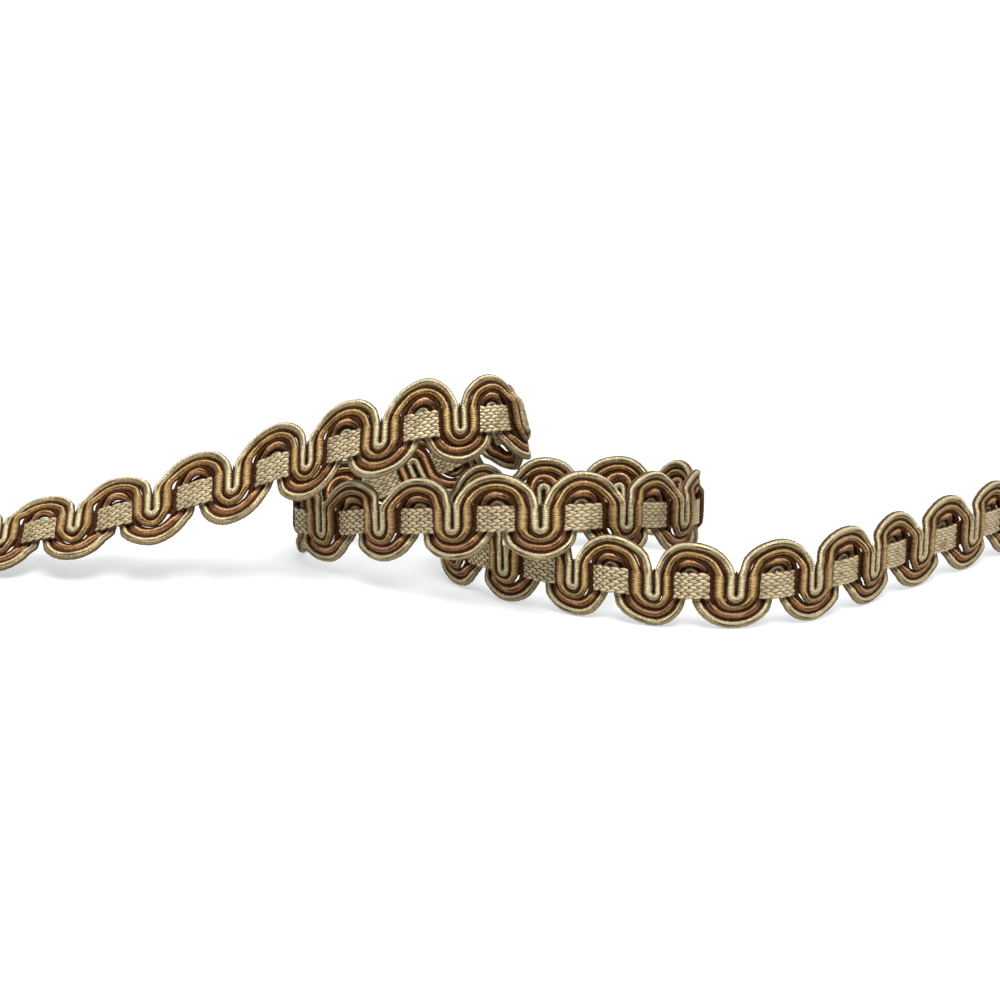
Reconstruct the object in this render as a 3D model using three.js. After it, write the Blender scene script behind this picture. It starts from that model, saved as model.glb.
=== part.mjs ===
import * as THREE from 'three';

// A length of scalloped gimp braid standing on its edge in a loose, telescoped spiral.
// Four wrapped cords run side by side in one meander, and a knitted band is worked
// through their legs: over the two inner cords, under the two outer ones.
//
// Flat frame of the braid, in millimetres: u runs along it, v across it, and w towards
// its face. u = 0 is the middle of a top scallop. A cord's legs run straight between
// legTop and legBottom, legDepth away from the band's middle, and keep most of that depth
// up to bandReach from the middle line. From edgeReach outwards all cords lie in one plane.

const repeatLength = 23;
const notchPlace = repeatLength / 2;
const legTop = 2;
const legBottom = -2;
const legDepth = 1.65;
const bandReach = 4.8;
const edgeReach = 9.5;
const scallopCount = 33;
const longestMitre = 2;

// Each cord: u of its leg, v of its top and bottom turns, half width on turns and legs,
// half thickness, the side of the band on which its legs lie, and steps in each turn.
const cords = [
  {
    name: 'ecru_cord_outer', leg: 10.2, top: 11.6, bottom: -3.7,
    halfTurn: 1.0, halfLeg: 1.0, halfThick: 1.0, side: 1, topSteps: 7, bottomSteps: 3, colour: 0xc9bb8e,
  },
  {
    name: 'gold_cord', leg: 7.45, top: 9.05, bottom: -6.4,
    halfTurn: 1.0, halfLeg: 1.5, halfThick: 0.9, side: 1, topSteps: 5, bottomSteps: 5, colour: 0xa17a45,
  },
  {
    name: 'copper_cord', leg: 4.25, top: 6.5, bottom: -9.0,
    halfTurn: 1.0, halfLeg: 1.0, halfThick: 1.0, side: -1, topSteps: 5, bottomSteps: 5, colour: 0x8f5a36,
  },
  {
    name: 'ecru_cord_inner', leg: 1.5, top: 3.7, bottom: -11.6,
    halfTurn: 1.0, halfLeg: 1.0, halfThick: 1.0, side: -1, topSteps: 3, bottomSteps: 7, colour: 0xc9bb8e,
  },
];

const band = {
  name: 'knit_band', low: -4.1, high: 3.4, halfThick: 0.4, wave: 0.6, stepsPerRepeat: 8, colour: 0xcfc09a,
};

// The braid's middle line from its left end to its right end: place, how far the top edge
// leans to the inside of the loops, in degrees, and how far the scallops stay upright
// where the braid climbs, from 0, square to its edge, to 1, fully upright.
const stations = [
  { scallop: 0, x: -164.7, y: 15.9, z: 7.6, lean: 54, upright: 0 },
  { scallop: 1, x: -141.7, y: 12.4, z: 12.5, lean: 52, upright: 0 },
  { scallop: 2, x: -117.7, y: 7.9, z: 18.7, lean: 45, upright: 0 },
  { scallop: 3, x: -92.7, y: 3.4, z: 26.8, lean: 34, upright: 0.6 },
  { scallop: 4, x: -68.7, y: -0.1, z: 35.8, lean: 20, upright: 1 },
  { scallop: 5, x: -47.9, y: -3.6, z: 43.6, lean: 14, upright: 1 },
  { scallop: 6, x: -24.9, y: -7.6, z: 50.8, lean: 12, upright: 1 },
  { scallop: 7, x: -4.2, y: -3.6, z: 51.9, lean: 12, upright: 1 },
  { scallop: 7.5, x: 2.3, y: 3.9, z: 49.6, lean: 14, upright: 1 },
  { scallop: 8, x: 1.9, y: 14.7, z: 44.8, lean: 16, upright: 0.5 },
  { scallop: 8.5, x: -1.2, y: 24.4, z: 40.8, lean: 6, upright: 0 },
  { scallop: 9, x: -9.7, y: 31.4, z: 35.6, lean: 0, upright: 0 },
  { scallop: 9.5, x: -18.9, y: 34.2, z: 29.7, lean: 0, upright: 0 },
  { scallop: 10.5, x: -38.7, y: 33.9, z: 21.4, lean: 0, upright: 0 },
  { scallop: 11, x: -50.7, y: 34.9, z: 16.4, lean: 0, upright: 0 },
  { scallop: 11.5, x: -62.7, y: 31.4, z: 12.5, lean: 0, upright: 0 },
  { scallop: 12, x: -64.2, y: 20.4, z: 13.9, lean: 0, upright: 0.5 },
  { scallop: 12.5, x: -54.7, y: 9.9, z: 16, lean: 0, upright: 1 },
  { scallop: 13, x: -46.1, y: 0.4, z: 19.3, lean: 0, upright: 1 },
  { scallop: 14, x: -26.2, y: -15.1, z: 24.6, lean: 0, upright: 1 },
  { scallop: 15, x: -3.7, y: -26.6, z: 28.9, lean: 0, upright: 1 },
  { scallop: 15.5, x: 8.6, y: -30.3, z: 30, lean: 0, upright: 1 },
  { scallop: 16, x: 20.3, y: -28.4, z: 29.9, lean: 0, upright: 1 },
  { scallop: 16.5, x: 31.8, y: -21.6, z: 27.9, lean: 0, upright: 1 },
  { scallop: 17, x: 41.3, y: -13.6, z: 25.9, lean: 0, upright: 1 },
  { scallop: 18, x: 55.3, y: 5.4, z: 21, lean: 0, upright: 1 },
  { scallop: 19, x: 52.6, y: 25.9, z: 18, lean: 0, upright: 1 },
  { scallop: 20, x: 34.8, y: 34.4, z: 17.4, lean: 0, upright: 1 },
  { scallop: 21, x: 10.3, y: 32.2, z: 17.5, lean: 0, upright: 1 },
  { scallop: 22, x: -9.4, y: 24.4, z: 17.3, lean: 0, upright: 1 },
  { scallop: 22.5, x: -17.1, y: 18.2, z: 15.6, lean: 0, upright: 0.5 },
  { scallop: 23, x: -20.3, y: 8.7, z: 13.4, lean: 0, upright: 0 },
  { scallop: 23.5, x: -15.2, y: -0.8, z: 12.5, lean: 0, upright: 0 },
  { scallop: 24.5, x: -0.7, y: -15.1, z: 12.5, lean: 0, upright: 0 },
  { scallop: 25.5, x: 18.8, y: -27.1, z: 12.5, lean: 0, upright: 0 },
  { scallop: 26, x: 27.8, y: -31.1, z: 12.5, lean: 0, upright: 0 },
  { scallop: 26.5, x: 40.3, y: -35.6, z: 12.5, lean: 0, upright: 0 },
  { scallop: 27, x: 49.8, y: -37.1, z: 12.5, lean: 0, upright: 0 },
  { scallop: 27.5, x: 62.3, y: -37.6, z: 12.5, lean: 0, upright: 0 },
  { scallop: 28, x: 74.8, y: -35.1, z: 12.5, lean: 0, upright: 0 },
  { scallop: 28.5, x: 84.3, y: -31.6, z: 12.5, lean: 0, upright: 0 },
  { scallop: 29, x: 95.3, y: -24.1, z: 12.5, lean: 0, upright: 0 },
  { scallop: 29.5, x: 103.3, y: -17.1, z: 12.5, lean: 0, upright: 0 },
  { scallop: 30.5, x: 120.3, y: -2.1, z: 12.5, lean: 0, upright: 0 },
  { scallop: 31.5, x: 139.3, y: 14.4, z: 12.5, lean: 0, upright: 0 },
  { scallop: 33, x: 164.3, y: 38.4, z: 12.5, lean: 0, upright: 0 },
];

const worldUp = new THREE.Vector3(0, 0, 1);
const stepsPerStation = 100;
const { lerp, smoothstep: smoothStep } = THREE.MathUtils;

const route = new THREE.CatmullRomCurve3(
  stations.map(({ x, y, z }) => new THREE.Vector3(x, y, z)),
  false,
  'centripetal',
);
route.arcLengthDivisions = (stations.length - 1) * stepsPerStation;
const routeLengths = route.getLengths();
const routeLength = route.getLength();

// Where a flat place along the braid falls on the route: the share of the route's length,
// the lean, in radians, and the upright share there.
function placeOnRoute(u) {
  const scallop = THREE.MathUtils.clamp(u / repeatLength, 0, scallopCount);
  const next = Math.max(stations.findIndex((station) => station.scallop >= scallop), 1);
  const before = stations[next - 1];
  const after = stations[next];
  const part = (scallop - before.scallop) / (after.scallop - before.scallop);
  const from = routeLengths[(next - 1) * stepsPerStation];
  const to = routeLengths[next * stepsPerStation];
  const eased = smoothStep(part, 0, 1);
  return {
    share: lerp(from, to, part) / routeLength,
    lean: THREE.MathUtils.degToRad(lerp(before.lean, after.lean, eased)),
    upright: lerp(before.upright, after.upright, eased),
  };
}

// Lays a flat point of the braid on the route, no lower than the surface it stands on.
function layOnRoute({ u, v, w }) {
  const { share, lean, upright } = placeOnRoute(u);
  const along = route.getTangentAt(share);
  const face = new THREE.Vector3().crossVectors(along, worldUp).normalize();
  const across = worldUp.clone().addScaledVector(along, (upright - 1) * along.z).normalize();
  const up = across.clone().multiplyScalar(Math.cos(lean)).addScaledVector(face, -Math.sin(lean));
  const out = face.clone().multiplyScalar(Math.cos(lean)).addScaledVector(across, Math.sin(lean));
  const placed = route.getPointAt(share);
  placed.addScaledVector(up, v).addScaledVector(out, w);
  placed.z = Math.max(placed.z, 0);
  return placed;
}

// Corner points of one turn, from its left end to its right end. An odd number of steps
// leaves a straight one in the middle, which reaches the turn's full height.
function turnPoints(centreU, centreV, reachU, reachV, steps) {
  const rise = reachV / Math.cos(Math.PI / (2 * steps));
  const points = [];
  for (let step = 0; step <= steps; step += 1) {
    const angle = Math.PI * (1 - step / steps);
    points.push({ u: centreU + reachU * Math.cos(angle), v: centreV + rise * Math.sin(angle) });
  }
  return points;
}

// Keeps the part of a path between two straight cuts across the braid.
function cutAt(points, from, to) {
  const start = points.findIndex((point) => point.u > from);
  const end = points.findLastIndex((point) => point.u < to);
  const kept = points.slice(start, end + 1);
  return [{ u: from, v: points[start].v }, ...kept, { u: to, v: points[end].v }];
}

// A cord's meander in the flat, a top turn and a bottom turn for each repeat.
function cordPath(cord) {
  const points = [];
  for (let scallop = 0; scallop <= scallopCount; scallop += 1) {
    const middle = scallop * repeatLength;
    points.push(...turnPoints(middle, legTop, cord.leg, cord.top - legTop, cord.topSteps));
    if (scallop < scallopCount) {
      const reach = notchPlace - cord.leg;
      points.push(...turnPoints(middle + notchPlace, legBottom, reach, cord.bottom - legBottom, cord.bottomSteps));
    }
  }
  return cutAt(points, 0, scallopCount * repeatLength);
}

// How far in front of the band or behind it a cord lies.
function depthAt(cord, v) {
  const away = smoothStep(Math.abs(v), bandReach, edgeReach);
  return cord.side * legDepth * (1 - away);
}

// Closes rings of equal size into one solid, with a flat cut at each end.
function solidFromRings(rings) {
  const size = rings[0].length;
  const positions = rings.flat().flatMap((point) => [point.x, point.y, point.z]);
  const faces = [];
  for (let ring = 0; ring < rings.length - 1; ring += 1) {
    for (let corner = 0; corner < size; corner += 1) {
      const next = (corner + 1) % size;
      const a = ring * size + corner;
      const b = ring * size + next;
      faces.push(a, b, b + size, a, b + size, a + size);
    }
  }
  const last = (rings.length - 1) * size;
  for (let corner = 1; corner < size - 1; corner += 1) {
    faces.push(0, corner + 1, corner);
    faces.push(last, last + corner, last + corner + 1);
  }
  const geometry = new THREE.BufferGeometry();
  geometry.setAttribute('position', new THREE.Float32BufferAttribute(positions, 3));
  geometry.setIndex(faces);
  geometry.computeVertexNormals();
  return geometry;
}

// Direction across a flat path at one of its points, longer on a corner so that the
// cord keeps its width there.
function mitreAt(path, index) {
  const before = path[Math.max(index - 1, 0)];
  const here = path[index];
  const after = path[Math.min(index + 1, path.length - 1)];
  const incoming = new THREE.Vector2(here.u - before.u, here.v - before.v).normalize();
  const outgoing = new THREE.Vector2(after.u - here.u, after.v - here.v).normalize();
  const direction = incoming.clone().add(outgoing).normalize();
  const single = incoming.lengthSq() > 0 ? incoming : outgoing;
  const stretch = Math.min(1 / direction.dot(single), longestMitre);
  return { u: -direction.y * stretch, v: direction.x * stretch };
}

function cordGeometry(cord) {
  const path = cordPath(cord);
  const corners = [[-1, -1], [1, -1], [1, 1], [-1, 1]];
  const rings = path.map((point, index) => {
    const across = mitreAt(path, index);
    const onLeg = 1 - smoothStep(Math.abs(point.v), legTop, bandReach);
    const halfWidth = lerp(cord.halfTurn, cord.halfLeg, onLeg);
    const depth = depthAt(cord, point.v);
    return corners.map(([side, face]) => layOnRoute({
      u: point.u + across.u * halfWidth * side,
      v: point.v + across.v * halfWidth * side,
      w: depth + cord.halfThick * face,
    }));
  });
  return solidFromRings(rings);
}

function bandGeometry() {
  const corners = [[band.low, -1], [band.high, -1], [band.high, 1], [band.low, 1]];
  const rings = [];
  const steps = scallopCount * band.stepsPerRepeat;
  const step = repeatLength / band.stepsPerRepeat;
  for (let index = 0; index <= steps; index += 1) {
    const u = index * step;
    const middle = band.wave * Math.cos((2 * Math.PI * index) / band.stepsPerRepeat);
    rings.push(corners.map(([v, face]) => layOnRoute({ u, v, w: middle + band.halfThick * face })));
  }
  return solidFromRings(rings);
}

function namedMesh(name, geometry, colour) {
  const material = new THREE.MeshStandardMaterial({ color: colour, roughness: 0.75, metalness: 0 });
  const mesh = new THREE.Mesh(geometry, material);
  mesh.name = name;
  return mesh;
}

const braid = new THREE.Group();
for (const cord of cords) {
  braid.add(namedMesh(cord.name, cordGeometry(cord), cord.colour));
}
braid.add(namedMesh(band.name, bandGeometry(), band.colour));

export default braid;
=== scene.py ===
import math

import bpy
import numpy as np
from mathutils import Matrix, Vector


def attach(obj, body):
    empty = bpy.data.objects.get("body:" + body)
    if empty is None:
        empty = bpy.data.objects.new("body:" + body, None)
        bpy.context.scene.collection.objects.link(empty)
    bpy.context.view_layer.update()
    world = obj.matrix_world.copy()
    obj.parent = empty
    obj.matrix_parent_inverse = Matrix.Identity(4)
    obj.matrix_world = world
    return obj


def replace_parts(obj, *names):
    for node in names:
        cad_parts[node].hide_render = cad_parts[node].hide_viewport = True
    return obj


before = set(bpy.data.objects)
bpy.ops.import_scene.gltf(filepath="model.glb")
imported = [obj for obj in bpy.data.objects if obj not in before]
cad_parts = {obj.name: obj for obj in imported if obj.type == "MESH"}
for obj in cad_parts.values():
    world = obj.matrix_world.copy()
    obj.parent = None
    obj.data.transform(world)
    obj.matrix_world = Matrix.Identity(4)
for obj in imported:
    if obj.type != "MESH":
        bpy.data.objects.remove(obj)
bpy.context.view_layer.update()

mm = 0.001


# Camera, at the photograph's height and angle

cameraSettings = {
    "location": (-0.0027, -0.5286, 0.1834),
    "pitchDown": 16.6,
    "lens": 67.57,
    "sensor": 36.0,
    "nearest": 0.01,
    "furthest": 100,
}


def addCamera(s):
    bpy.ops.object.select_all(action="DESELECT")
    turned = (math.radians(90 - s["pitchDown"]), 0, 0)
    bpy.ops.object.camera_add(location=s["location"], rotation=turned)
    camera = bpy.context.object
    camera.name = "viewCamera"
    camera.data.lens = s["lens"]
    camera.data.sensor_width = s["sensor"]
    camera.data.clip_start = s["nearest"]
    camera.data.clip_end = s["furthest"]
    bpy.context.scene.camera = camera


addCamera(cameraSettings)
print("stage: camera")


# The braid's route. The braid is drawn flat, in millimetres: u along it, v across it,
# w towards its face, and then laid on the route.

braid = {
    "repeat": 23.0,
    "scallops": 33,
    "legTop": 2.0,  # legs run straight between these two
    "legBottom": -2.0,
    "legDepth": 1.65,  # how far the legs lie in front of the band or behind it
    "bandReach": 4.4,  # as far from the middle line as this, a leg keeps its depth
    "edgeReach": 7.8,  # and from here on it lies level with the other cords
}

# scallop number, x, y, z of the middle line, lean of the top edge in degrees,
# and how far the scallops stay upright where the braid climbs
stations = [
    (0, -164.7, 15.9, 7.6, 54, 0),
    (1, -141.7, 12.4, 12.5, 52, 0),
    (2, -117.7, 7.9, 18.7, 45, 0),
    (3, -92.7, 3.4, 26.8, 34, 0.6),
    (4, -68.7, -0.1, 35.8, 20, 1),
    (5, -47.9, -3.6, 43.6, 14, 1),
    (6, -24.9, -7.6, 50.8, 12, 1),
    (7, -4.2, -3.6, 51.9, 12, 1),
    (7.5, 2.3, 3.9, 49.6, 14, 1),
    (8, 1.9, 14.7, 44.8, 16, 0.5),
    (8.5, -1.2, 24.4, 40.8, 6, 0),
    (9, -9.7, 31.4, 35.6, 0, 0),
    (9.5, -18.9, 34.2, 29.7, 0, 0),
    (10.5, -38.7, 33.9, 21.4, 0, 0),
    (11, -50.7, 34.9, 16.4, 0, 0),
    (11.5, -62.7, 31.4, 12.5, 0, 0),
    (12, -64.2, 20.4, 13.9, 0, 0.5),
    (12.5, -54.7, 9.9, 16, 0, 1),
    (13, -46.1, 0.4, 19.3, 0, 1),
    (14, -26.2, -15.1, 24.6, 0, 1),
    (15, -3.7, -26.6, 28.9, 0, 1),
    (15.5, 8.6, -30.3, 30, 0, 1),
    (16, 20.3, -28.4, 29.9, 0, 1),
    (16.5, 31.8, -21.6, 27.9, 0, 1),
    (17, 41.3, -13.6, 25.9, 0, 1),
    (18, 55.3, 5.4, 21, 0, 1),
    (19, 52.6, 25.9, 18, 0, 1),
    (20, 34.8, 34.4, 17.4, 0, 1),
    (21, 10.3, 32.2, 17.5, 0, 1),
    (22, -9.4, 24.4, 17.3, 0, 1),
    (22.5, -17.1, 18.2, 15.6, 0, 0.5),
    (23, -20.3, 8.7, 13.4, 0, 0),
    (23.5, -15.2, -0.8, 12.5, 0, 0),
    (24.5, -0.7, -15.1, 12.5, 0, 0),
    (25.5, 18.8, -27.1, 12.5, 0, 0),
    (26, 27.8, -31.1, 12.5, 0, 0),
    (26.5, 40.3, -35.6, 12.5, 0, 0),
    (27, 49.8, -37.1, 12.5, 0, 0),
    (27.5, 62.3, -37.6, 12.5, 0, 0),
    (28, 74.8, -35.1, 12.5, 0, 0),
    (28.5, 84.3, -31.6, 12.5, 0, 0),
    (29, 95.3, -24.1, 12.5, 0, 0),
    (29.5, 103.3, -17.1, 12.5, 0, 0),
    (30.5, 120.3, -2.1, 12.5, 0, 0),
    (31.5, 139.3, 14.4, 12.5, 0, 0),
    (33, 164.3, 38.4, 12.5, 0, 0),
]


def routeThrough(rows, steps=100):
    # a centripetal Catmull-Rom curve through the stations
    places = np.array([row[1:4] for row in rows], float)
    points = []
    for i in range(len(places) - 1):
        here, after = places[i], places[i + 1]
        before = places[i - 1] if i > 0 else 2 * here - after
        later = places[i + 2] if i + 2 < len(places) else 2 * after - here
        d0 = np.linalg.norm(here - before) ** 0.5
        d1 = np.linalg.norm(after - here) ** 0.5
        d2 = np.linalg.norm(later - after) ** 0.5
        step0, step1, step2 = (here - before) / d0, (after - here) / d1, (later - after) / d2
        leaving = (step0 - (after - before) / (d0 + d1) + step1) * d1
        arriving = (step1 - (later - here) / (d1 + d2) + step2) * d1
        t = np.linspace(0, 1, steps, endpoint=False)[:, None]
        square = -3 * here + 3 * after - 2 * leaving - arriving
        cube = 2 * here - 2 * after + leaving + arriving
        points.append(here + leaving * t + square * t**2 + cube * t**3)
    points.append(places[-1:])
    points = np.concatenate(points)
    paces = np.linalg.norm(np.diff(points, axis=0), axis=1)
    travelled = np.concatenate([[0], np.cumsum(paces)])
    along = np.gradient(points, axis=0)
    along /= np.linalg.norm(along, axis=1)[:, None]
    return {
        "points": points,
        "travelled": travelled,
        "along": along,
        "atStation": travelled[::steps],
    }


route = routeThrough(stations)


def smooth(x, low, high):
    t = np.clip((x - low) / (high - low), 0, 1)
    return t * t * (3 - 2 * t)


def layOnRoute(flat):
    rows = np.array(stations, float)
    scallop = np.clip(flat[:, 0] / braid["repeat"], 0, braid["scallops"])
    i = np.clip(np.searchsorted(rows[:, 0], scallop, side="left") - 1, 0, len(rows) - 2)
    part = (scallop - rows[i, 0]) / (rows[i + 1, 0] - rows[i, 0])
    at = route["atStation"][i] * (1 - part) + route["atStation"][i + 1] * part

    def onRoute(what):
        return np.stack([np.interp(at, route["travelled"], route[what][:, k]) for k in range(3)], 1)

    place, along = onRoute("points"), onRoute("along")
    along /= np.linalg.norm(along, axis=1)[:, None]
    eased = part * part * (3 - 2 * part)
    lean = np.radians(rows[i, 4] * (1 - eased) + rows[i + 1, 4] * eased)[:, None]
    upright = (rows[i, 5] * (1 - eased) + rows[i + 1, 5] * eased)[:, None]
    face = np.cross(along, [0, 0, 1.0])
    face /= np.linalg.norm(face, axis=1)[:, None]
    across = np.array([[0, 0, 1.0]]) + along * (upright - 1) * along[:, 2:3]
    across /= np.linalg.norm(across, axis=1)[:, None]
    up = across * np.cos(lean) - face * np.sin(lean)
    out = face * np.cos(lean) + across * np.sin(lean)
    laid = place + up * flat[:, 1:2] + out * flat[:, 2:3]
    laid[:, 2] = np.maximum(laid[:, 2], 0)  # nothing sinks into the floor
    return laid * mm


def getPoints(piece):
    points = np.zeros(len(piece.data.vertices) * 3, np.float32)
    piece.data.vertices.foreach_get("co", points)
    return points.reshape(-1, 3).astype(float)


def setPoints(piece, points):
    piece.data.vertices.foreach_set("co", points.astype(np.float32).ravel())
    piece.data.update()


def setAttribute(piece, name, values):
    attribute = piece.data.attributes.new(name, "FLOAT", "POINT")
    attribute.data.foreach_set("value", np.asarray(values, np.float32))


def editMode(piece):
    bpy.ops.object.select_all(action="DESELECT")
    piece.select_set(True)
    bpy.context.view_layer.objects.active = piece
    bpy.ops.object.mode_set(mode="EDIT")
    bpy.ops.mesh.select_all(action="SELECT")


def wander(x, wavelength, seed):
    # an uneven wave between about -1 and 1
    turns = 2 * math.pi * x / wavelength
    waves = np.sin(turns + seed)
    waves = waves + np.sin(turns * 0.618 + 2.3 * seed)
    waves = waves + np.sin(turns * 1.732 + 4.1 * seed)
    return waves / 2.2


# Materials

def newMaterial(name):
    material = bpy.data.materials.new(name)
    material.use_nodes = True
    nodes = material.node_tree.nodes
    nodes.clear()
    output = nodes.new("ShaderNodeOutputMaterial")
    shader = nodes.new("ShaderNodeBsdfPrincipled")
    material.node_tree.links.new(shader.outputs["BSDF"], output.inputs["Surface"])
    return material, nodes, material.node_tree.links, shader


def mathNode(nodes, links, operation, first, second):
    node = nodes.new("ShaderNodeMath")
    node.operation = operation
    for socket, value in zip(node.inputs, (first, second)):
        if isinstance(value, (int, float)):
            socket.default_value = value
        else:
            links.new(value, socket)
    return node.outputs[0]


def rangeNode(nodes, links, value, fromLow, fromHigh, toLow, toHigh):
    node = nodes.new("ShaderNodeMapRange")
    node.interpolation_type = "SMOOTHSTEP"
    node.inputs["From Min"].default_value = fromLow
    node.inputs["From Max"].default_value = fromHigh
    node.inputs["To Min"].default_value = toLow
    node.inputs["To Max"].default_value = toHigh
    links.new(value, node.inputs["Value"])
    return node.outputs["Result"]


def mixColour(nodes, links, factor, first, second):
    node = nodes.new("ShaderNodeMix")
    node.data_type = "RGBA"
    links.new(factor, node.inputs["Factor"])
    colourA, colourB, mixed = node.inputs[6], node.inputs[7], node.outputs[2]
    for socket, value in ((colourA, first), (colourB, second)):
        if isinstance(value, tuple):
            socket.default_value = (*value, 1)
        else:
            links.new(value, socket)
    return mixed


def tint(nodes, links, tone, colour, value, valueRange, shares):
    # mixes a colour into the tone, by a share that follows the value through its range
    share = rangeNode(nodes, links, value, *valueRange, *shares)
    return mixColour(nodes, links, share, tone, colour)


def attributeNode(nodes, name):
    node = nodes.new("ShaderNodeAttribute")
    node.attribute_name = name
    return node.outputs["Fac"]


def placeNoise(nodes, links, scale, detail):
    place = nodes.new("ShaderNodeTexCoord")
    noise = nodes.new("ShaderNodeTexNoise")
    noise.inputs["Scale"].default_value = scale
    noise.inputs["Detail"].default_value = detail
    links.new(place.outputs["Object"], noise.inputs["Vector"])
    return noise.outputs["Fac"]


# what the yarns of all the cords have in common
yarn = {
    "waveRidges": 1.59,  # ridges in a millimetre that the wave texture has at a scale of 1
    "waveDetail": 2,
    "waveDetailScale": 1.1,
    "threadsRound": 1.2,  # how short the threads are, round the cord
    "strandsRound": 2.0,
    "noiseDetail": 3,
    "noiseRough": 0.6,
    "patchScale": 160,
    "patchDark": 0.3,
    "threadDark": 0.5,
    "strandRange": (0.35, 0.65),  # the part of each pattern over which the colour turns
    "threadRange": (0.38, 0.68),
    "patchRange": (0.45, 0.75),
    "wrapRange": (0.0, 0.5),
    "roughRange": (0.2, 0.8),
    "wrapHeight": 0.55,
    "threadHeight": 1.1,
    "strandHeight": 1.2,
    "roughVaries": 0.08,
    "sheenRough": 0.4,
}


def cordMaterial(name, s):
    material, nodes, links, shader = newMaterial(name)
    uv = nodes.new("ShaderNodeUVMap")
    uv.uv_map = "UVMap"
    size = nodes.new("ShaderNodeMapping")  # millimetres along the cord, and turns round it
    size.inputs["Scale"].default_value = (s["length"], 1, 1)
    links.new(uv.outputs["UV"], size.inputs["Vector"])

    # each turn of the wrapping is a slightly uneven ridge
    slant = nodes.new("ShaderNodeMapping")
    slant.inputs["Scale"].default_value = (1, s["wrapSlant"], 1)
    links.new(size.outputs["Vector"], slant.inputs["Vector"])
    wraps = nodes.new("ShaderNodeTexWave")
    wraps.wave_type = "BANDS"
    wraps.bands_direction = "DIAGONAL"
    wraps.inputs["Scale"].default_value = 1 / s["wrapPitch"] / yarn["waveRidges"]
    wraps.inputs["Distortion"].default_value = s["wrapUneven"]
    wraps.inputs["Detail"].default_value = yarn["waveDetail"]
    wraps.inputs["Detail Scale"].default_value = yarn["waveDetailScale"]
    links.new(slant.outputs["Vector"], wraps.inputs["Vector"])
    ridges = wraps.outputs["Fac"]

    # single threads, long round the cord and short along it
    unrolled = size.outputs["Vector"]
    threads = threadNoise(nodes, links, unrolled, (s["threadsPerMm"], yarn["threadsRound"], 1))
    strands = threadNoise(nodes, links, unrolled, (s["strandsPerMm"], yarn["strandsRound"], 1))
    patches = placeNoise(nodes, links, yarn["patchScale"], yarn["noiseDetail"])

    # strands, threads and patches vary the tone at random; the lows between wrap turns get painted
    # shade
    tone = s["mid"]
    for pattern, patternRange, shares, colour in (
        (strands, yarn["strandRange"], (0, 1), s["light"]),
        (threads, yarn["threadRange"], (0, yarn["threadDark"]), s["shade"]),
        (patches, yarn["patchRange"], (0, yarn["patchDark"]), s["shade"]),
        (ridges, yarn["wrapRange"], (s["wrapGrooveShade"], 0), s["shade"]),
    ):
        tone = tint(nodes, links, tone, colour, pattern, patternRange, shares)
    # painted highlight on the crest, and painted shade on the lower ridge of a turn, along the fold
    # and on the flanks
    for line, most, colour in (
        ("crest_highlight", s["crestHighlight"], s["light"]),
        ("underside_shade", s["undersideShade"], s["shade"]),
        ("groove", s["foldLineShade"], s["creaseShade"]),
        ("flank_shade", 1, s["creaseShade"]),
    ):
        tone = tint(nodes, links, tone, colour, attributeNode(nodes, line), (0, 1), (0, most))
    links.new(tone, shader.inputs["Base Color"])

    height = mathNode(nodes, links, "MULTIPLY", ridges, yarn["wrapHeight"])
    for layer, proud in ((threads, yarn["threadHeight"]), (strands, yarn["strandHeight"])):
        raised = mathNode(nodes, links, "MULTIPLY", layer, proud)
        height = mathNode(nodes, links, "ADD", height, raised)
    bump = nodes.new("ShaderNodeBump")
    bump.inputs["Strength"].default_value = s["bump"]
    bump.inputs["Distance"].default_value = s["bumpDepth"] * mm
    links.new(height, bump.inputs["Height"])
    links.new(bump.outputs["Normal"], shader.inputs["Normal"])
    dullest, shiniest = s["rough"] + yarn["roughVaries"], s["rough"] - yarn["roughVaries"]
    roughness = rangeNode(nodes, links, threads, *yarn["roughRange"], dullest, shiniest)
    links.new(roughness, shader.inputs["Roughness"])
    # the wrapped threads shine in a line that runs along the cord
    tangent = nodes.new("ShaderNodeTangent")
    tangent.direction_type = "UV_MAP"
    tangent.uv_map = "UVMap"
    links.new(tangent.outputs["Tangent"], shader.inputs["Tangent"])
    shader.inputs["Anisotropic"].default_value = s["shineAlong"]
    shader.inputs["Metallic"].default_value = s["satin"]
    shader.inputs["Specular IOR Level"].default_value = s["gloss"]
    shader.inputs["Sheen Weight"].default_value = s["sheen"]
    shader.inputs["Sheen Roughness"].default_value = yarn["sheenRough"]
    return material


def threadNoise(nodes, links, vector, scale):
    stretched = nodes.new("ShaderNodeMapping")
    stretched.inputs["Scale"].default_value = scale
    links.new(vector, stretched.inputs["Vector"])
    noise = nodes.new("ShaderNodeTexNoise")
    noise.inputs["Scale"].default_value = 1
    noise.inputs["Detail"].default_value = yarn["noiseDetail"]
    noise.inputs["Roughness"].default_value = yarn["noiseRough"]
    links.new(stretched.outputs["Vector"], noise.inputs["Vector"])
    return noise.outputs["Fac"]


# Cords: each is a tube on the cord's meander, pressed flat where its legs cross the band

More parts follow.
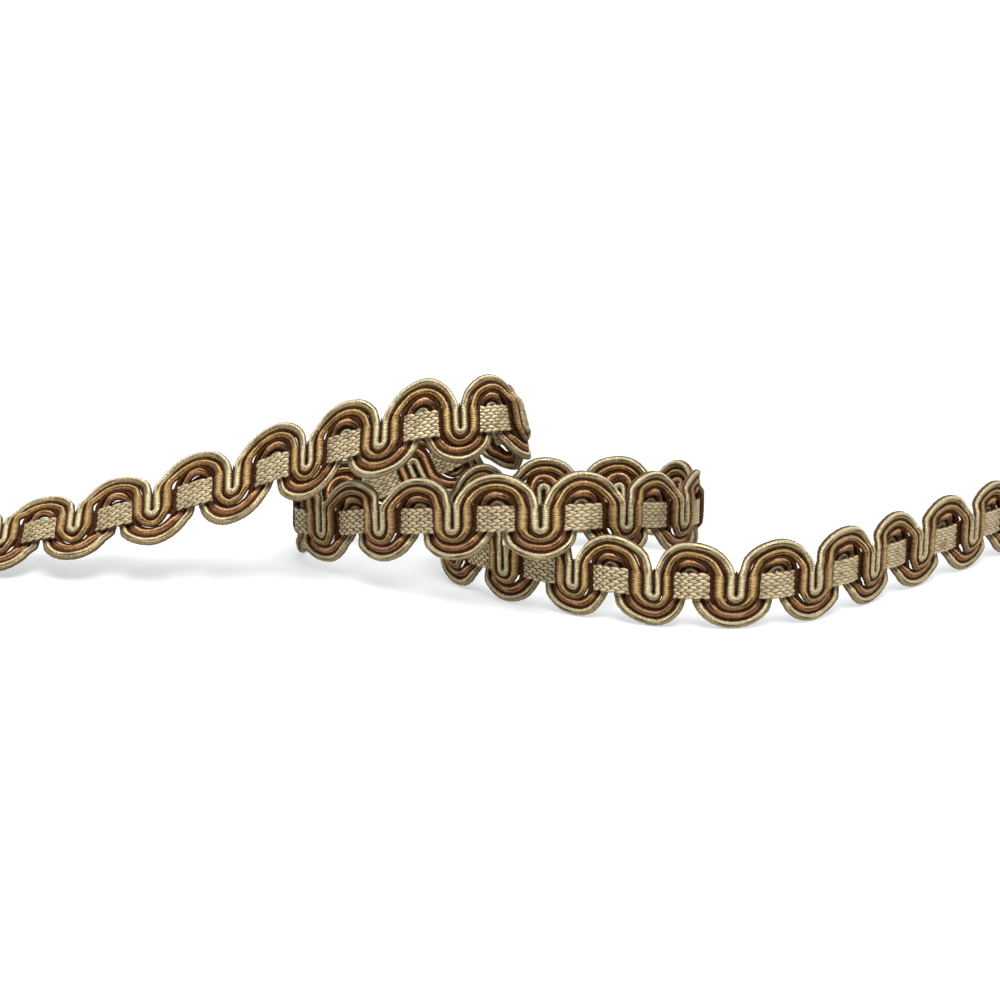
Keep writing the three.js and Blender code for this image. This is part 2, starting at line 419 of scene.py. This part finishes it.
cordSettings = {
    "step": 0.35,  # mm between rings
    "sides": 16,
    "crowd": 0.3,  # how much closer the corners of a ring stand on its faces than at its edges
    "swell": 0.03,  # share by which the thickness wanders
    "lumps": 0.05,  # share by which single turns of the wrapping stand out
    "stray": 0.1,  # mm by which the middle line wanders
    "tilt": 0.26,  # the upper ridge of a turn stands out further than the lower one
    "groove": 0.4,  # depth of the fold along the faces, as a share of the thickness
    "wrapPitch": 0.66,
    "wrapUneven": 4.2,
    "wrapSlant": 0.9,
    "threadsPerMm": 4.6,
    "strandsPerMm": 1.9,
    # painted shade in the grooves between wrap turns
    "wrapGrooveShade": 0.24,
    "foldLineShade": 0.85,
    "undersideShade": 0.6,  # how much painted shade darkens the lower ridge of a turn
    "crestHighlight": 0.75,  # how much painted highlight lightens the crest
    "sheen": 0.05,
    "bump": 1.0,
    "bumpDepth": 0.18,
    "rough": 0.47,
    "gloss": 0.6,
    "satin": 0.5,
    "shineAlong": 0.7,
}

# leg is the u of a cord's legs, top and bottom are the v of its turns, and side is the side
# of the band on which its legs lie. Half widths are for turns and legs, and halfCorner for
# where it rises from the band. turnEdge and legEdge are where painted shade on its flanks
# begins, as shares of its half width. A cord may have an edgeReach of its own.
cords = {
    "ecru_cord_outer": {
        "leg": 10.2, "top": 11.55, "bottom": -3.7, "side": 1,
        "halfTurn": 1.08, "halfLeg": 1.08, "halfThick": 1.04,
        "turnEdge": 0.74, "legEdge": 0.6, "colour": "ecru", "seed": 0.7,
    },
    "gold_cord": {
        "leg": 7.45, "top": 9.05, "bottom": -6.35, "side": 1,
        "halfTurn": 1.04, "halfLeg": 1.5, "halfThick": 0.97,
        "turnEdge": 0.62, "legEdge": 0.2, "colour": "gold", "seed": 1.9,
    },
    "copper_cord": {
        "leg": 4.25, "top": 6.45, "bottom": -8.95, "side": -1, "edgeReach": 6.9,
        "halfTurn": 1.12, "halfLeg": 1.12, "halfThick": 1.04,
        "turnEdge": 0.72, "legEdge": 0.55, "colour": "copper", "seed": 3.1,
    },
    "ecru_cord_inner": {
        "leg": 1.5, "top": 3.7, "bottom": -11.55, "side": -1,
        "halfTurn": 1.14, "halfLeg": 1.08, "halfThick": 1.04,
        "turnEdge": 0.74, "legEdge": 0.6, "colour": "ecru", "seed": 4.4,
    },
}

# dark brown threads laid between neighbouring cords: painted shade, put where shade falls in the
# gaps between them
shadeThreads = {
    "shade_thread_outer": {
        "leg": 9.1, "top": 10.33, "bottom": -5.0, "side": 1,
        "halfTurn": 0.54, "halfLeg": 0.34, "halfThick": 0.7,
        "turnEdge": 0.7, "legEdge": 0.9, "colour": "shadeBrown", "seed": 5.3,
    },
    "shade_thread_middle": {
        "leg": 5.6, "top": 7.78, "bottom": -7.7, "side": 0,
        "halfTurn": 0.5, "halfCorner": 0.84, "halfLeg": 0.78, "halfThick": 0.8, "legThick": 1.1,
        "turnEdge": 0.7, "legEdge": 0.9, "colour": "shadeBrown", "seed": 6.1,
    },
    "shade_thread_inner": {
        "leg": 2.9, "top": 5.1, "bottom": -10.3, "side": -1,
        "halfTurn": 0.62, "halfLeg": 0.34, "halfThick": 0.6,
        "turnEdge": 0.7, "legEdge": 0.9, "colour": "shadeBrown", "seed": 7.7,
    },
}

shadeThreadSettings = {
    "step": 0.6, "sides": 6, "crowd": 0, "swell": 0.12, "lumps": 0.04, "stray": 0.05,
    "tilt": 0, "groove": 0, "wrapPitch": 0.9, "wrapUneven": 5.0, "wrapSlant": 1.2,
    "threadsPerMm": 1.6, "strandsPerMm": 0.6, "wrapGrooveShade": 0.3, "foldLineShade": 0,
    "undersideShade": 0, "crestHighlight": 0, "sheen": 0, "bump": 1.0, "bumpDepth": 0.1,
    "rough": 0.7, "gloss": 0.15, "satin": 0, "shineAlong": 0,
}

# the crease colour is painted shade, for the fold line and the flanks of a cord
cordColours = {
    "ecru": {
        "light": (0.7, 0.615, 0.39),
        "mid": (0.44, 0.36, 0.205),
        "shade": (0.23, 0.165, 0.08),
        "creaseShade": (0.075, 0.03, 0.006),
    },
    "gold": {
        "light": (0.59, 0.41, 0.175),
        "mid": (0.28, 0.155, 0.047),
        "shade": (0.14, 0.066, 0.018),
        "creaseShade": (0.06, 0.021, 0.003),
    },
    "copper": {
        "light": (0.68, 0.405, 0.205),
        "mid": (0.36, 0.172, 0.07),
        "shade": (0.15, 0.06, 0.02),
        "creaseShade": (0.045, 0.014, 0.003),
    },
    # the colour of the threads of painted shade between the cords
    "shadeBrown": {
        "light": (0.1, 0.036, 0.005),
        "mid": (0.062, 0.02, 0.003),
        "shade": (0.025, 0.006, 0.001),
        "creaseShade": (0.02, 0.005, 0.001),
    },
}

# Hand work is never quite even: how far each thing wanders, and over what length, in mm
handWork = {
    "tops": 0.3,
    "topsOver": 47.0,
    "topsFrom": 3.0,  # the wandering grows between these two, across the braid
    "topsTo": 9.0,
    "topsSeed": 1.3,
    "sideways": 0.22,
    "sidewaysOver": 36.0,
    "sidewaysFrom": 2.0,
    "sidewaysTo": 7.0,
    "sidewaysSeed": 2.9,
    "band": 0.22,
    "bandOver": 61.0,
    "bandSeed": 0.8,
}

# how a cord's form wanders along it, over so many mm, and where its folds, its painted highlight
# and its painted shade run on it, as shares of its half width
cordForm = {
    "turnPoints": 48,
    "swellOver": 5.3,
    "lumpsOver": 1.3,
    "strayOver": 17.0,
    "thinnest": 0.3,
    "thickest": 1.6,
    "endRound": 0.5,  # mm over which a cut end is rounded
    "endSize": 0.25,
    "foldSway": 0.12,
    "foldSwayOver": 23.0,
    "turnFoldWide": 0.2,
    "legFoldAt": 0.66,
    "legFoldWide": 0.16,
    "foldMean": 0.7,
    "foldVaries": 0.4,
    "foldVariesOver": 11.0,
    "fullness": 0.8,  # below 1 the section is squarer than an oval
    "crestAt": 0.5,
    "crestWide": 0.3,
    "undersideFrom": -0.1,
    "undersideTo": 0.35,
    "flankTo": 1.02,
    "softAngle": 60,
}


def unevenHand(u, v):
    # only what lies away from the middle line wanders
    h = handWork
    high = smooth(v, h["topsFrom"], h["topsTo"])
    v = v + h["tops"] * high * wander(u, h["topsOver"], h["topsSeed"])
    outer = smooth(np.abs(v), h["sidewaysFrom"], h["sidewaysTo"])
    u = u + h["sideways"] * outer * wander(u, h["sidewaysOver"], h["sidewaysSeed"])
    return u, v


def cordLine(c, step):
    u, v = [], []
    for scallop in range(braid["scallops"] + 1):
        middle = scallop * braid["repeat"]
        turn = np.linspace(math.pi, 0, cordForm["turnPoints"])
        u.append(middle + c["leg"] * np.cos(turn))
        v.append(braid["legTop"] + (c["top"] - braid["legTop"]) * np.sin(turn))
        if scallop < braid["scallops"]:
            notch = middle + braid["repeat"] / 2
            u.append(notch + (braid["repeat"] / 2 - c["leg"]) * np.cos(turn))
            v.append(braid["legBottom"] + (c["bottom"] - braid["legBottom"]) * np.sin(turn))
    u, v = np.concatenate(u), np.concatenate(v)
    kept = (u >= 0) & (u <= braid["scallops"] * braid["repeat"])
    u, v = u[kept], v[kept]
    travelled = np.concatenate([[0], np.cumsum(np.hypot(np.diff(u), np.diff(v)))])
    count = int(round(travelled[-1] / step))
    at = np.linspace(0, travelled[-1], count + 1)
    return np.interp(at, travelled, u), np.interp(at, travelled, v), travelled[-1], count


def makeCord(name, c, s):
    # a grid is rolled up round the cord's line and laid on the route
    form = cordForm
    lineU, lineV, length, count = cordLine(c, s["step"])
    bpy.ops.object.select_all(action="DESELECT")
    bpy.ops.mesh.primitive_grid_add(x_subdivisions=count, y_subdivisions=s["sides"], size=1)
    piece = bpy.context.object
    piece.name = name + ("_wrapped" if name in cords else "_laid")
    grid = getPoints(piece)
    along = (grid[:, 0] + 0.5) * length
    turn = (grid[:, 1] + 0.5) * 2 * math.pi
    angle = turn + s["crowd"] * np.sin(2 * turn)

    ringAt = np.linspace(0, length, count + 1)
    tangentU, tangentV = np.gradient(lineU), np.gradient(lineV)
    size = np.hypot(tangentU, tangentV)
    tangentU, tangentV = tangentU / size, tangentV / size
    u, v = np.interp(along, ringAt, lineU), np.interp(along, ringAt, lineV)
    tu, tv = np.interp(along, ringAt, tangentU), np.interp(along, ringAt, tangentV)
    size = np.hypot(tu, tv)
    tu, tv = tu / size, tv / size

    onLeg = 1 - smooth(np.abs(v), braid["legTop"], braid["bandReach"])
    apart = 1 - smooth(np.abs(v), braid["bandReach"], c.get("edgeReach", braid["edgeReach"]))
    depth = c["side"] * braid["legDepth"] * apart
    halfThick = c["halfThick"] * (1 - apart) + c.get("legThick", c["halfThick"]) * apart
    halfWidth = c["halfTurn"] * (1 - apart) + c.get("halfCorner", c["halfTurn"]) * apart
    halfWidth = halfWidth * (1 - onLeg) + c["halfLeg"] * onLeg
    swell = 1 + s["swell"] * wander(along, form["swellOver"], c["seed"])
    side = np.cos(angle)
    swell += s["lumps"] * wander(along + 0.5 * side, form["lumpsOver"], 2 * c["seed"])
    swell = np.clip(swell, form["thinnest"], form["thickest"])
    fromEnd = np.minimum(along, length - along)
    endRound = np.sqrt(np.clip(fromEnd / form["endRound"] + form["endSize"], 0, 1))
    stray = s["stray"] * wander(along, form["strayOver"], 3 * c["seed"])

    # a fold runs along the middle of each face on the turns, and near both edges on the legs
    foldAt = form["foldSway"] * wander(along, form["foldSwayOver"], 5 * c["seed"])
    fold = (1 - onLeg) * np.exp(-((side - foldAt) / form["turnFoldWide"]) ** 2)
    fold += onLeg * np.exp(-((np.abs(side) - form["legFoldAt"]) / form["legFoldWide"]) ** 2)
    uneven = form["foldVaries"] * wander(along, form["foldVariesOver"], 6 * c["seed"])
    fold *= np.clip(form["foldMean"] + uneven, 0, 1)
    full = np.sign(np.sin(angle)) * np.abs(np.sin(angle)) ** form["fullness"]
    aside = halfWidth * swell * endRound * side + stray
    proud = halfThick * swell * endRound * full * (1 - s["groove"] * fold)
    proud *= 1 + s["tilt"] * side * (1 - onLeg)
    u, v = unevenHand(u - tv * aside, v + tu * aside)
    setPoints(piece, layOnRoute(np.stack([u, v, depth + proud], 1)))
    # the fold mask also carries a line of painted shade
    setAttribute(piece, "groove", fold)
    # painted shade on the lower ridge of a turn
    underside_shade = smooth(-side, form["undersideFrom"], form["undersideTo"])
    setAttribute(piece, "underside_shade", (1 - onLeg) * underside_shade)
    # painted highlight along the upper ridge of a turn and the middle of a leg
    fromCrest = side - form["crestAt"] * (1 - onLeg)
    setAttribute(piece, "crest_highlight", np.exp(-(fromCrest / form["crestWide"]) ** 2))
    # painted shade on both flanks, where shade falls between neighbouring cords
    edge = c["turnEdge"] * (1 - onLeg) + c["legEdge"] * onLeg
    flank_shade = (np.abs(side) - edge) / (form["flankTo"] - edge)
    setAttribute(piece, "flank_shade", np.clip(flank_shade, 0, 1))

    editMode(piece)
    bpy.ops.mesh.remove_doubles(threshold=0.000001)
    bpy.ops.mesh.select_all(action="DESELECT")
    bpy.ops.mesh.select_non_manifold()
    bpy.ops.mesh.fill_holes(sides=s["sides"] + 2)
    bpy.ops.mesh.select_all(action="SELECT")
    bpy.ops.mesh.normals_make_consistent(inside=False)
    bpy.ops.object.mode_set(mode="OBJECT")
    bpy.ops.object.shade_smooth_by_angle(angle=math.radians(form["softAngle"]))

    finish = {**s, **cordColours[c["colour"]], "length": length}
    piece.data.materials.append(cordMaterial(name + "_yarn", finish))
    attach(piece, "root")
    faces = len(piece.data.polygons)
    print("stage:", piece.name, "length", round(length), "mm", faces, "faces")
    return piece


for cordName, cordShape in cords.items():
    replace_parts(makeCord(cordName, cordShape, cordSettings), cordName)
for threadName, threadShape in shadeThreads.items():
    makeCord(threadName, threadShape, shadeThreadSettings)


# A short bundle of dark brown threads fills each notch between the outer cord's legs, as painted
# shade in the notch

notchSettings = {
    "low": -2.4,  # mm across the braid
    "high": 4.4,
    "halfWide": 0.55,
    "halfThick": 0.5,
    "depth": 1.25,  # how far it lies in front of the middle of the braid
    "sides": 6,
    "rings": 12,
    "bulge": 0.3,  # how much its width swells and narrows along it
    "bulges": 3.1,
    "endNarrow": 0.5,
    "sway": 0.12,
    "swayOver": 31.0,
    "swaySeed": 1.1,
    "coreShade": cordColours["shadeBrown"]["shade"],
    "shade": cordColours["shadeBrown"]["light"],
}


def makeNotchThreads(s):
    # one bundle is modelled flat in the first notch and then repeated along the braid
    bpy.ops.object.select_all(action="DESELECT")
    lying = (math.pi / 2, 0, 0)
    bpy.ops.mesh.primitive_cylinder_add(vertices=s["sides"], radius=1, depth=2, rotation=lying)
    piece = bpy.context.object
    piece.name = "shade_thread_notch"
    bpy.ops.object.transform_apply(location=True, rotation=True, scale=True)
    editMode(piece)
    bpy.ops.mesh.select_mode(type="EDGE")
    bpy.ops.mesh.select_all(action="DESELECT")
    bpy.ops.object.mode_set(mode="OBJECT")
    for edge in piece.data.edges:
        start, end = (piece.data.vertices[v].co.y for v in edge.vertices)
        edge.select = abs(start - end) > 1
    bpy.ops.object.mode_set(mode="EDIT")
    bpy.ops.mesh.subdivide(number_cuts=s["rings"])
    bpy.ops.mesh.select_mode(type="VERT")
    bpy.ops.object.mode_set(mode="OBJECT")
    points = getPoints(piece)
    lengthwise = points[:, 1].copy()
    ends = np.clip(1 - s["endNarrow"] * lengthwise**6, 0, 1)
    swell = 1 - s["bulge"] + s["bulge"] * np.cos(s["bulges"] * lengthwise)
    u = braid["repeat"] / 2 + points[:, 0] * (s["halfWide"] * swell * ends)
    v = (s["low"] + s["high"]) / 2 + lengthwise * (s["high"] - s["low"]) / 2
    w = s["depth"] + points[:, 2] * s["halfThick"] * ends
    setPoints(piece, np.stack([u, v, w], 1))
    repeat = piece.modifiers.new("repeat", "ARRAY")
    repeat.use_relative_offset = False
    repeat.use_constant_offset = True
    repeat.constant_offset_displace = (braid["repeat"], 0, 0)
    repeat.count = braid["scallops"]
    bpy.ops.object.modifier_apply(modifier=repeat.name)
    flat = getPoints(piece)
    flat[:, 0] += s["sway"] * wander(flat[:, 0] + flat[:, 1], s["swayOver"], s["swaySeed"])
    flat[:, 0], flat[:, 1] = unevenHand(flat[:, 0], flat[:, 1])
    setPoints(piece, layOnRoute(flat))
    editMode(piece)
    bpy.ops.mesh.normals_make_consistent(inside=False)
    bpy.ops.object.mode_set(mode="OBJECT")
    bpy.ops.object.shade_smooth_by_angle(angle=math.radians(cordForm["softAngle"]))
    piece.data.materials.append(shadeCoreMaterial("notch_shade_yarn", s))
    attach(piece, "root")
    print("stage:", piece.name, len(piece.data.polygons), "faces")


# Knitted band: a thin, nearly black core, which is painted shade seen through the gaps between the
# stitches, and leaf-shaped stitches in rows on both faces

bandSettings = {
    "low": -4.1,  # its edges, in mm across the braid
    "high": 3.4,
    "wave": 0.6,  # it bows forward over the inner legs and back under the outer ones
    "coreThick": 0.5,
    "coreStep": 1.0,
    "coreAcross": 4,
    "coreSoftAngle": 50,
    "rows": 8,
    "stitches": 310,  # in the whole length, in each row
    "leafLength": 3.0,
    "leafWide": 1.28,
    "leafThick": 0.7,
    "leafSides": 8,
    "leafRings": 5,
    "leafSlant": 9,
    "fatEnd": 0.16,  # how much fatter one end of a stitch is
    "leafLift": 0.3,  # how far a stitch lies from the middle of the band
    "tips": 0.55,  # how much narrower than an oval the stitch's ends are
    "overlap": 0.16,  # mm by which its fat end lies above the next one's tail
    "light": (0.68, 0.58, 0.385),
    "mid": (0.4, 0.32, 0.185),
    "dull": (0.27, 0.21, 0.12),
    "shade": (0.12, 0.052, 0.013),
    # colour of the painted shade on the stitches beside the legs
    "legShade": (0.16, 0.062, 0.014),
    # the core's nearly black colour is painted shade in the gaps between the stitches
    "coreShade": (0.02, 0.007, 0.002),
    "coreInset": 0.35,  # how far the core's edges lie inside the stitches
    "patchScale": 420,
    "patchDetail": 2,
    "patchRange": (0.42, 0.72),
    "patchDull": 0.7,
    "grooveRange": (0.45, 0.95),
    "legShadeAmount": 0.75,  # how much painted shade, warmed by light bounced off the legs, darkens the stitches beside them
    "besideFrom": 1.1,  # mm before the leg's edge where that begins
    "besideTo": 0.2,
    "fibres": (26, 2.5, 1),
    "fibreDetail": 3,
    "fibreRange": (0.3, 0.7),
    "bump": 0.6,
    "bumpDepth": 0.06,
    "rough": 0.45,
    "satin": 0.3,
    "rowSway": 0.07,
    "rowSwayOver": 7.7,
    "stitchSway": 0.1,
    "stitchSwayOver": 9.1,
}

coreYarn = {"grain": 900, "detail": 3, "rough": 0.85}


def shadeCoreMaterial(name, s):
    material, nodes, links, shader = newMaterial(name)
    grain = placeNoise(nodes, links, coreYarn["grain"], coreYarn["detail"])
    tone = mixColour(nodes, links, grain, s["coreShade"], s["shade"])
    links.new(tone, shader.inputs["Base Color"])
    shader.inputs["Roughness"].default_value = coreYarn["rough"]
    return material


def stitchMaterial(name, s):
    material, nodes, links, shader = newMaterial(name)
    patches = placeNoise(nodes, links, s["patchScale"], s["patchDetail"])
    uv = nodes.new("ShaderNodeUVMap")
    uv.uv_map = "UVMap"
    stretched = nodes.new("ShaderNodeMapping")
    stretched.inputs["Scale"].default_value = s["fibres"]
    links.new(uv.outputs["UV"], stretched.inputs["Vector"])
    fibres = nodes.new("ShaderNodeTexNoise")
    fibres.inputs["Scale"].default_value = 1
    fibres.inputs["Detail"].default_value = s["fibreDetail"]
    links.new(stretched.outputs["Vector"], fibres.inputs["Vector"])
    groove, legShade = attributeNode(nodes, "groove"), attributeNode(nodes, "legShade")
    # fibres and patches vary the tone at random; painted shade darkens each stitch's inner half and
    # the stitches beside the legs
    tone = s["mid"]
    for pattern, patternRange, most, colour in (
        (fibres.outputs["Fac"], s["fibreRange"], 1, s["light"]),
        (patches, s["patchRange"], s["patchDull"], s["dull"]),
        (groove, s["grooveRange"], 1, s["shade"]),
        (legShade, (0, 1), s["legShadeAmount"], s["legShade"]),
    ):
        tone = tint(nodes, links, tone, colour, pattern, patternRange, (0, most))
    links.new(tone, shader.inputs["Base Color"])
    bump = nodes.new("ShaderNodeBump")
    bump.inputs["Strength"].default_value = s["bump"]
    bump.inputs["Distance"].default_value = s["bumpDepth"] * mm
    links.new(fibres.outputs["Fac"], bump.inputs["Height"])
    links.new(bump.outputs["Normal"], shader.inputs["Normal"])
    shader.inputs["Roughness"].default_value = s["rough"]
    shader.inputs["Metallic"].default_value = s["satin"]
    return material


def bandBow(u, s):
    return s["wave"] * np.cos(2 * math.pi * u / braid["repeat"])


def makeCore(s):
    length = braid["repeat"] * braid["scallops"]
    bpy.ops.object.select_all(action="DESELECT")
    cuts = int(length / s["coreStep"])
    bpy.ops.mesh.primitive_grid_add(x_subdivisions=cuts, y_subdivisions=s["coreAcross"], size=1)
    piece = bpy.context.object
    piece.name = "knit_shade_core"
    grid = getPoints(piece)
    u = (grid[:, 0] + 0.5) * length
    width = s["high"] - s["low"] - 2 * s["coreInset"]
    v = s["low"] + s["coreInset"] + (grid[:, 1] + 0.5) * width
    v += handWork["band"] * wander(u, handWork["bandOver"], handWork["bandSeed"])
    setPoints(piece, layOnRoute(np.stack([u, v, bandBow(u, s)], 1)))
    solidify = piece.modifiers.new("thickness", "SOLIDIFY")
    solidify.thickness = s["coreThick"] * mm
    solidify.offset = 0
    bpy.ops.object.modifier_apply(modifier=solidify.name)
    bpy.ops.object.shade_smooth_by_angle(angle=math.radians(s["coreSoftAngle"]))
    piece.data.materials.append(shadeCoreMaterial("knit_shade_core_yarn", s))
    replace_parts(piece, "knit_band")
    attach(piece, "root")
    print("stage:", piece.name, len(piece.data.polygons), "faces")


def makeLeafRows(s, slant, firstRow, face):
    # one stitch, modelled flat and lying along u, then repeated along the band and across it
    pitch = braid["repeat"] * braid["scallops"] / s["stitches"]
    rowHeight = (s["high"] - s["low"]) / s["rows"]
    bpy.ops.object.select_all(action="DESELECT")
    bpy.ops.mesh.primitive_uv_sphere_add(
        segments=s["leafSides"], ring_count=s["leafRings"], radius=1, rotation=(0, math.pi / 2, 0)
    )
    leaf = bpy.context.object
    bpy.ops.object.transform_apply(location=True, rotation=True, scale=True)
    points = getPoints(leaf)
    # painted shade, darkest on the half of each stitch that faces into the band
    setAttribute(leaf, "groove", 1 - np.clip(points[:, 2] * face, 0, 1))
    lengthwise = points[:, 0].copy()
    fat = (1 + s["fatEnd"] * points[:, 0]) * (1 - s["tips"] * points[:, 0] ** 2)
    points[:, 1] *= s["leafWide"] / 2 * fat
    points[:, 2] *= s["leafThick"] / 2 * fat
    points[:, 0] *= s["leafLength"] / 2
    turn = math.radians(slant)
    u = points[:, 0] * math.cos(turn) - points[:, 1] * math.sin(turn)
    v = points[:, 0] * math.sin(turn) + points[:, 1] * math.cos(turn)
    u += pitch / 2 + (pitch / 2 if firstRow % 2 else 0)
    v += s["low"] + rowHeight * (firstRow + 0.5)
    w = points[:, 2] + face * (s["leafLift"] + s["overlap"] * lengthwise)
    setPoints(leaf, np.stack([u, v, w], 1))
    alongBand, acrossBand = (pitch, 0, 0), (0, 2 * rowHeight, 0)
    for offset, count in ((alongBand, s["stitches"]), (acrossBand, s["rows"] // 2)):
        repeat = leaf.modifiers.new("repeat", "ARRAY")
        repeat.use_relative_offset = False
        repeat.use_constant_offset = True
        repeat.constant_offset_displace = offset
        repeat.count = count
        bpy.ops.object.modifier_apply(modifier=repeat.name)
    return leaf


def makeStitches(name, s, face, seed):
    rising = makeLeafRows(s, s["leafSlant"], 0, face)
    falling = makeLeafRows(s, -s["leafSlant"], 1, face)
    bpy.ops.object.select_all(action="DESELECT")
    rising.select_set(True)
    falling.select_set(True)
    bpy.context.view_layer.objects.active = rising
    bpy.ops.object.join()
    piece = bpy.context.object
    piece.name = name
    flat = getPoints(piece)
    flat[:, 0] = np.clip(flat[:, 0], 0, braid["repeat"] * braid["scallops"])
    rowSway = s["rowSway"] * wander(flat[:, 0], s["rowSwayOver"], seed)
    bandSway = wander(flat[:, 0], handWork["bandOver"], handWork["bandSeed"])
    flat[:, 1] += rowSway + handWork["band"] * bandSway
    stitchSway = wander(flat[:, 0] + 3 * flat[:, 1], s["stitchSwayOver"], 2 * seed)
    flat[:, 0] += s["stitchSway"] * stitchSway

    # the stitches beside a leg that crosses the band on this face get painted shade, warmed by
    # light bounced off the leg
    half = braid["repeat"] / 2
    fromMiddle = np.abs((flat[:, 0] + half) % braid["repeat"] - half)
    if face > 0:
        edge = cords["gold_cord"]["leg"] - cords["gold_cord"]["halfLeg"]
    else:
        fromMiddle = half - fromMiddle
        edge = half - cords["copper_cord"]["leg"] - cords["copper_cord"]["halfLeg"]
    legShaded = smooth(fromMiddle, edge - s["besideFrom"], edge + s["besideTo"])
    setAttribute(piece, "legShade", legShaded)
    flat[:, 2] += bandBow(flat[:, 0], s)
    setPoints(piece, layOnRoute(flat))
    editMode(piece)
    bpy.ops.mesh.normals_make_consistent(inside=False)
    bpy.ops.object.mode_set(mode="OBJECT")
    bpy.ops.object.shade_smooth()
    piece.data.materials.append(stitchMaterial(name + "_yarn", s))
    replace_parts(piece, "knit_band")
    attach(piece, "root")
    print("stage:", piece.name, len(piece.data.polygons), "faces")


makeNotchThreads(notchSettings)
makeCore(bandSettings)
makeStitches("knit_front", bandSettings, 1, 0.4)
makeStitches("knit_back", bandSettings, -1, 1.7)


# Floor and light

studio = {
    "floor": 12.0,  # metres from the middle to its edge
    "floorBelow": 0.0003,
    "floorRough": 0.6,
    "floorColour": (0.36, 0.36, 0.365),
    "glowColour": (0.94, 0.98, 1.0),
    "nearGlow": 0.57,
    "farGlow": 1.1,
    "glowFrom": 0.3,  # the floor's glow grows between these two distances
    "glowTo": 0.9,
    "world": 0.28,
    "worldColour": (1.0, 0.94, 0.86),
    "roomColour": (1, 1, 1),  # what the camera sees beyond the floor's edge
    "gamma": 0.88,
}

lights = {
    "keyLight": {"location": (0.08, -0.38, 0.84), "size": 0.5, "watts": 12.2},
    "topLight": {"location": (0.0, 0.3, 1.2), "size": 1.6, "watts": 10.5},
}
aim = (0, 0, 0.02)  # both lights point here


def makeFloor(s):
    bpy.ops.object.select_all(action="DESELECT")
    bpy.ops.mesh.primitive_plane_add(size=2 * s["floor"], location=(0, 0, -s["floorBelow"]))
    floor = bpy.context.object
    bpy.ops.object.transform_apply(location=True, rotation=True, scale=True)
    floor.name = "floor"
    material, nodes, links, shader = newMaterial("paleFloor")
    shader.inputs["Base Color"].default_value = (*s["floorColour"], 1)
    shader.inputs["Roughness"].default_value = s["floorRough"]
    shader.inputs["Emission Color"].default_value = (*s["glowColour"], 1)
    place = nodes.new("ShaderNodeTexCoord")
    fromMiddle = nodes.new("ShaderNodeVectorMath")
    fromMiddle.operation = "LENGTH"
    links.new(place.outputs["Object"], fromMiddle.inputs[0])
    reach = fromMiddle.outputs["Value"]
    near, far = s["nearGlow"], s["farGlow"]
    glow = rangeNode(nodes, links, reach, s["glowFrom"], s["glowTo"], near, far)
    links.new(glow, shader.inputs["Emission Strength"])
    floor.data.materials.append(material)


def addLight(name, s, target):
    bpy.ops.object.select_all(action="DESELECT")
    bpy.ops.object.light_add(type="AREA", location=s["location"])
    lamp = bpy.context.object
    lamp.name = name
    lamp.data.shape = "SQUARE"
    lamp.data.size = s["size"]
    lamp.data.energy = s["watts"]
    direction = Vector(target) - lamp.location
    lamp.rotation_euler = direction.to_track_quat("-Z", "Y").to_euler()


def setWorld(s):
    world = bpy.context.scene.world or bpy.data.worlds.new("studioWorld")
    bpy.context.scene.world = world
    world.use_nodes = True
    nodes, links = world.node_tree.nodes, world.node_tree.links
    background = nodes["Background"]
    background.inputs["Color"].default_value = (*s["worldColour"], 1)
    background.inputs["Strength"].default_value = s["world"]
    # beyond the floor's edge the room is white
    room = nodes.new("ShaderNodeBackground")
    room.inputs["Color"].default_value = (*s["roomColour"], 1)
    seen = nodes.new("ShaderNodeLightPath")
    choice = nodes.new("ShaderNodeMixShader")
    links.new(seen.outputs["Is Camera Ray"], choice.inputs["Fac"])
    links.new(background.outputs["Background"], choice.inputs[1])
    links.new(room.outputs["Background"], choice.inputs[2])
    links.new(choice.outputs["Shader"], nodes["World Output"].inputs["Surface"])


makeFloor(studio)
for lightName, lightSettings in lights.items():
    addLight(lightName, lightSettings, aim)
setWorld(studio)
bpy.context.scene.view_settings.view_transform = "Standard"  # keeps the white floor white
bpy.context.scene.view_settings.gamma = studio["gamma"]
print("stage: floor and light")
